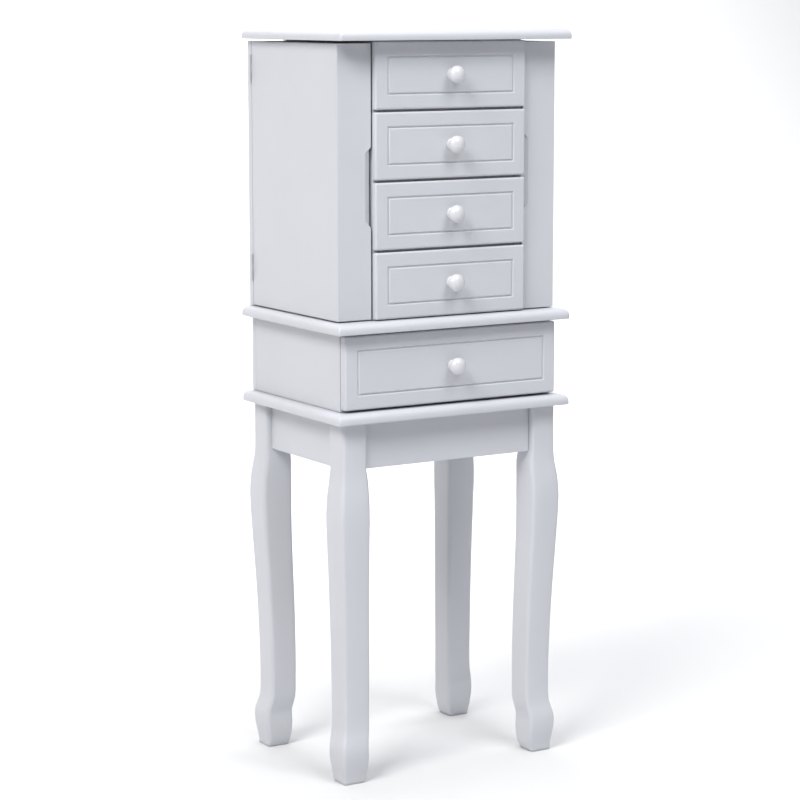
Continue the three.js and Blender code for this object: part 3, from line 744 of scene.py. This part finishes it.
def add_hooks(hand, way):
    """A hook rail: a bar with bent hooks."""
    node = f"door_{hand}_hook_rail"
    low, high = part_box(node)
    outer = high.x if way > 0 else low.x
    tip = low.x if way > 0 else high.x
    bar_width, bar_edge = 0.005, 0.002
    face = outer - way * bar_width
    body = f"door_{hand}"
    x0, x1 = sorted((outer, face))
    bar_low, bar_high = (x0, low.y, low.z), (x1, high.y, high.z)
    add_board(f"{node}_bar", bar_low, bar_high, body, "hook_plastic", [node], bar_edge)
    count, pitch = 6, 0.025
    rod, bend = 0.0016, 0.005  # radius of the rod and of its bend
    root, up, rise = 0.001, 0.0036, 0.0068  # depth in the bar, height in the rail, tip over the rod
    z = low.z + up
    end = tip + way * rod
    steps = 8
    for i in range(count):
        y = (low.y + high.y) / 2 + (i - (count - 1) / 2) * pitch
        path = [(face + way * root, y, z), (end + way * bend, y, z)]
        for k in range(1, steps):
            t = math.pi / 2 * k / steps
            path.append((end + way * bend * (1 - math.sin(t)), y, z + bend * (1 - math.cos(t))))
        path += [(end, y, z + bend), (end, y, z + rise)]
        mesh = tube(f"hook_{i}", path, rod)
        add_piece(f"door_{hand}_hook_{i + 1}", mesh, body, "hook_plastic")


def add_necklace_lining(hand, way):
    """Felt on the floor, the back and the inner side of a necklace space. The dark side felt also
    paints shade into the gaps beside the drawer fronts.
    """
    t = shape_settings().felt
    part_low, part_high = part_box(f"partition_{hand}")
    panel_low, panel_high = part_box(f"door_{hand}_panel")
    _, stile_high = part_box(f"door_{hand}_stile")
    back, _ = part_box("upper_back")
    room, head_room, felt_edge = 0.001, 0.002, 0.0004  # room is left for the door to turn
    inner = max(abs(part_low.x), abs(part_high.x)) + GAP
    outer = min(abs(panel_low.x), abs(panel_high.x)) - room
    front = stile_high.y + room
    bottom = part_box("waist_board")[1].z
    top = panel_high.z - head_room

    def pad(name, x, y, z):
        x0, x1 = sorted((way * x[0], way * x[1]))
        low, high = (x0, y[0], z[0]), (x1, y[1], z[1])
        add_board(f"necklace_{name}_{hand}", low, high, "frame", "felt", (), felt_edge)

    pad("floor_felt", (inner, outer), (front, back.y - t - GAP), (bottom + GAP, bottom + t))
    # The side felt is partly a lining and partly a dark sheet that paints shade into the gaps
    # beside the drawer fronts.
    pad("side_felt_and_gap_shade", (inner, inner + t), (front, back.y - t - 2 * GAP), (bottom + t + GAP, top))
    pad("back_felt", (inner, outer), (back.y - t - GAP, back.y - GAP), (bottom + GAP, top))


def add_tray_lining():
    """The felt behind the tray's divider."""
    _, divider_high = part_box("tray_divider")
    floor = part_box("tray_floor")[1].z
    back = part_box("upper_back")[0].y
    side = abs(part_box("partition_right")[0].x)
    low = Vector((-side, divider_high.y, floor))
    high = Vector((side, back, divider_high.z - LINING_DROP))
    add_liner("tray_felt", low, high, "frame")


def add_block_bolt(end, along, hand, way):
    """The bolt and washer of a corner block, 8 mm clear of the block's slanted face."""
    low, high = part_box(f"corner_block_{end}_{hand}")
    out = Vector((-way, along, 0)).normalized()
    x = low.x if way > 0 else high.x
    y = high.y if along > 0 else low.y
    setback = 0.021771  # from the inner corner of the block's plan back to the washer
    at = Vector((x, y, (low.z + high.z) / 2)) - out * setback
    name = f"corner_bolt_{end}_{hand}"
    washer = [(TIP, 0), (0.008, 0), (0.008, 0.001), (0.0075, 0.0013), (TIP, 0.0013)]
    add_piece(f"{name}_washer", lathe(name, washer, at, out, 32), "frame", "hinge")
    head = [(TIP, 0), (0.0055, 0), (0.0055, 0.003), (0.005, 0.0036), (TIP, 0.0036)]
    above = 0.0014  # from the washer's foot to the head's
    add_piece(f"{name}_head", lathe(name, head, at + out * above, out, 6), "frame", "hinge")


def show_cad_nodes():
    """Gives every CAD node the finish of its slot in the record."""
    slots = {row["node"]: row["material_slot"] for row in frame["record"]["subparts"]}
    for name, node in NODES.items():
        node.data.materials.clear()
        node.data.materials.append(MATERIALS[slots[name]])


# ---- Stage ----


def add_floor(color):
    """A wide floor that sweeps up behind the armoire."""
    wide, start, sweep, wall = 30, 2.4, 1.6, 7
    steps = 16
    path = [(-wide, 0), (start, 0)]
    for i in range(1, steps + 1):
        t = math.pi / 2 * i / steps
        path.append((start + sweep * math.sin(t), sweep * (1 - math.cos(t))))
    path.append((start + sweep, wall))

    def make(bm):
        rows = [[bm.verts.new((x, y, z)) for x in (-wide, wide)] for y, z in path]
        for a, b in zip(rows, rows[1:]):
            bm.faces.new((a[0], a[1], b[1], b[0]))

    floor = bpy.data.objects.new("floor", mesh_from("floor", make))
    floor.data.shade_smooth()
    floor.data.materials.append(floor_material("floor", color))
    bpy.context.scene.collection.objects.link(floor)


def add_room(low, high):
    """Even light from all round, brighter overhead than at the horizon."""
    world = bpy.data.worlds.new("studio")
    world.use_nodes = True
    tree = world.node_tree
    background = tree.nodes["Background"]
    background.inputs["Color"].default_value = (0.94, 0.96, 1.0, 1)
    split = tree.nodes.new("ShaderNodeSeparateXYZ")
    tree.links.new(tree.nodes.new("ShaderNodeTexCoord").outputs["Generated"], split.inputs[0])
    room = between(tree, split.outputs["Z"], low, high, 0, 1)
    tree.links.new(room, background.inputs["Strength"])
    bpy.context.scene.world = world


def add_lamp(name, place, aim, width, power, spread, tone):
    """A square lamp at a place, turned towards its aim. The spread is in degrees."""
    lamp = bpy.data.lights.new(name, "AREA")
    lamp.shape = "SQUARE"
    lamp.size = width
    lamp.energy = power
    lamp.spread = math.radians(spread)
    lamp.color = tone
    light = bpy.data.objects.new(name, lamp)
    light.location = place
    light.rotation_euler = (Vector(aim) - Vector(place)).to_track_quat("-Z", "Y").to_euler()
    bpy.context.scene.collection.objects.link(light)


def add_camera(place, angles, lens):
    """The camera. Its angles are its tilt from level, its roll, and its turn from the front."""
    scene = bpy.context.scene
    camera = bpy.data.objects.new("camera", bpy.data.cameras.new("camera"))
    tilt, roll, turn = angles
    aim = Euler((math.pi / 2 + tilt, 0, turn)).to_matrix() @ Matrix.Rotation(roll, 3, "Z")
    camera.matrix_world = Matrix.Translation(place) @ aim.to_4x4()
    camera.data.sensor_width = 36
    camera.data.lens = lens
    camera.data.clip_end = 1000
    scene.collection.objects.link(camera)
    scene.camera = camera


# ---- Operators ----


class ARMOIRE_OT_materials(bpy.types.Operator):
    """Makes every finish"""

    bl_idname = "armoire.materials"
    bl_label = "Finishes"
    bl_options = {"REGISTER", "UNDO"}

    def execute(self, context):
        MATERIALS.update(make_materials())
        return {"FINISHED"}


class ARMOIRE_OT_moulded_boards(bpy.types.Operator):
    """Builds the lid, the waist board and the base board"""

    bl_idname = "armoire.moulded_boards"
    bl_label = "Lid and boards"
    bl_options = {"REGISTER", "UNDO"}

    def execute(self, context):
        add_moulded_board("lid_board", "lid")
        add_moulded_board("waist_board", "frame")
        add_moulded_board("base_board", "frame")
        return {"FINISHED"}


class ARMOIRE_OT_case(bpy.types.Operator):
    """Builds the case's plain boards: sides, backs, partitions, shelves and tray"""

    bl_idname = "armoire.case"
    bl_label = "Case"
    bl_options = {"REGISTER", "UNDO"}

    def execute(self, context):
        for node in PLAIN_BOARDS:
            add_node_board(node)
        return {"FINISHED"}


class ARMOIRE_OT_doors(bpy.types.Operator):
    """Builds the two L-shaped side doors"""

    bl_idname = "armoire.doors"
    bl_label = "Side doors"
    bl_options = {"REGISTER", "UNDO"}

    def execute(self, context):
        for hand, way in HANDS.items():
            add_door(hand, way)
        return {"FINISHED"}


class ARMOIRE_OT_hooks(bpy.types.Operator):
    """Builds the necklace hooks inside the doors"""

    bl_idname = "armoire.hooks"
    bl_label = "Hook rails"
    bl_options = {"REGISTER", "UNDO"}

    def execute(self, context):
        for hand, way in HANDS.items():
            add_hooks(hand, way)
        return {"FINISHED"}


class ARMOIRE_OT_fronts(bpy.types.Operator):
    """Builds the drawer fronts"""

    bl_idname = "armoire.fronts"
    bl_label = "Drawer fronts"
    bl_options = {"REGISTER", "UNDO"}

    def execute(self, context):
        for drawer in DRAWERS:
            add_front(drawer)
        return {"FINISHED"}


class ARMOIRE_OT_knobs(bpy.types.Operator):
    """Builds the knobs and the screws that hold them"""

    bl_idname = "armoire.knobs"
    bl_label = "Knobs"
    bl_options = {"REGISTER", "UNDO"}

    def execute(self, context):
        for drawer in DRAWERS:
            add_knob(drawer)
            add_knob_screw(drawer)
        return {"FINISHED"}


class ARMOIRE_OT_boxes(bpy.types.Operator):
    """Builds the drawer boxes and their felt linings"""

    bl_idname = "armoire.boxes"
    bl_label = "Drawer boxes"
    bl_options = {"REGISTER", "UNDO"}

    def execute(self, context):
        for drawer in DRAWERS:
            add_box(drawer)
        return {"FINISHED"}


class ARMOIRE_OT_legs(bpy.types.Operator):
    """Builds the curved legs"""

    bl_idname = "armoire.legs"
    bl_label = "Legs"
    bl_options = {"REGISTER", "UNDO"}

    def execute(self, context):
        for end in ("front", "rear"):
            for hand in HANDS:
                add_leg(f"leg_{end}_{hand}")
        return {"FINISHED"}


class ARMOIRE_OT_aprons(bpy.types.Operator):
    """Builds the aprons between the legs, and the bolts of the corner blocks"""

    bl_idname = "armoire.aprons"
    bl_label = "Aprons and bolts"
    bl_options = {"REGISTER", "UNDO"}

    def execute(self, context):
        for side in ("front", "rear", "left", "right"):
            add_node_board(f"apron_{side}")
        for end, along in (("front", 1), ("rear", -1)):
            for hand, way in HANDS.items():
                add_block_bolt(end, along, hand, way)
        return {"FINISHED"}


class ARMOIRE_OT_linings(bpy.types.Operator):
    """Builds the ring cushion, the linings of the necklace spaces and the tray's felt"""

    bl_idname = "armoire.linings"
    bl_label = "Cushion and felt"
    bl_options = {"REGISTER", "UNDO"}

    def execute(self, context):
        add_cushion()
        for hand, way in HANDS.items():
            add_necklace_lining(hand, way)
        add_tray_lining()
        return {"FINISHED"}


class ARMOIRE_OT_mirror(bpy.types.Operator):
    """Builds the mirror under the lid"""

    bl_idname = "armoire.mirror"
    bl_label = "Mirror"
    bl_options = {"REGISTER", "UNDO"}

    def execute(self, context):
        add_mirror()
        return {"FINISHED"}


class ARMOIRE_OT_cad_finishes(bpy.types.Operator):
    """Gives the CAD nodes that are shown as they are their finishes"""

    bl_idname = "armoire.cad_finishes"
    bl_label = "Hinges and blocks"
    bl_options = {"REGISTER", "UNDO"}

    def execute(self, context):
        show_cad_nodes()
        return {"FINISHED"}


class ARMOIRE_OT_stage(bpy.types.Operator):
    """Sets up the floor, the lights and the camera"""

    bl_idname = "armoire.stage"
    bl_label = "Stage"
    bl_options = {"REGISTER", "UNDO"}

    def execute(self, context):
        s = context.scene.armoire_stage
        add_floor(s.floor)
        add_room(s.room_low, s.room_high)
        add_lamp("key", (-2.6, -1.3, 3.2), (0, 0, 0.5), 1.6, 125, 180, (1, 0.99, 0.97))
        add_lamp("front", (0.3, -2.2, 3.6), (0, 0, 0.5), 1.6, 69, 180, (0.97, 0.98, 1))
        add_lamp("sweep", (0.8, 1.2, 4.4), (1, 3.8, 1.0), 3.0, 175, 118, (1, 1, 1))
        add_camera(s.camera, s.turn, s.lens)
        context.scene.view_settings.view_transform = "Standard"
        return {"FINISHED"}


STEPS = (
    ARMOIRE_OT_materials,
    ARMOIRE_OT_cad_finishes,
    ARMOIRE_OT_moulded_boards,
    ARMOIRE_OT_case,
    ARMOIRE_OT_doors,
    ARMOIRE_OT_hooks,
    ARMOIRE_OT_fronts,
    ARMOIRE_OT_knobs,
    ARMOIRE_OT_boxes,
    ARMOIRE_OT_legs,
    ARMOIRE_OT_aprons,
    ARMOIRE_OT_linings,
    ARMOIRE_OT_mirror,
    ARMOIRE_OT_stage,
)


class ARMOIRE_PT_panel(bpy.types.Panel):
    """Lists the steps and the settings"""

    bl_idname = "ARMOIRE_PT_panel"
    bl_label = "Jewelry armoire"
    bl_space_type = "VIEW_3D"
    bl_region_type = "UI"
    bl_category = "Armoire"

    def draw(self, context):
        for step in STEPS:
            self.layout.operator(step.bl_idname)
        for name in SETTINGS:
            group = getattr(context.scene, name)
            for key in group.bl_rna.properties.keys():
                if key not in ("rna_type", "name"):
                    self.layout.prop(group, key)


SETTINGS = {
    "armoire_finish": ARMOIRE_PG_finish,
    "armoire_shape": ARMOIRE_PG_shape,
    "armoire_stage": ARMOIRE_PG_stage,
}
CLASSES = (*SETTINGS.values(), *STEPS, ARMOIRE_PT_panel)


def register():
    for cls in CLASSES:
        bpy.utils.register_class(cls)
    for name, group in SETTINGS.items():
        setattr(bpy.types.Scene, name, bpy.props.PointerProperty(type=group))


def unregister():
    for name in SETTINGS:
        delattr(bpy.types.Scene, name)
    for cls in reversed(CLASSES):
        bpy.utils.unregister_class(cls)


def main():
    register()
    for step in STEPS:
        getattr(bpy.ops.armoire, step.bl_idname.split(".")[1])()


if __name__ == "__main__":
    main()
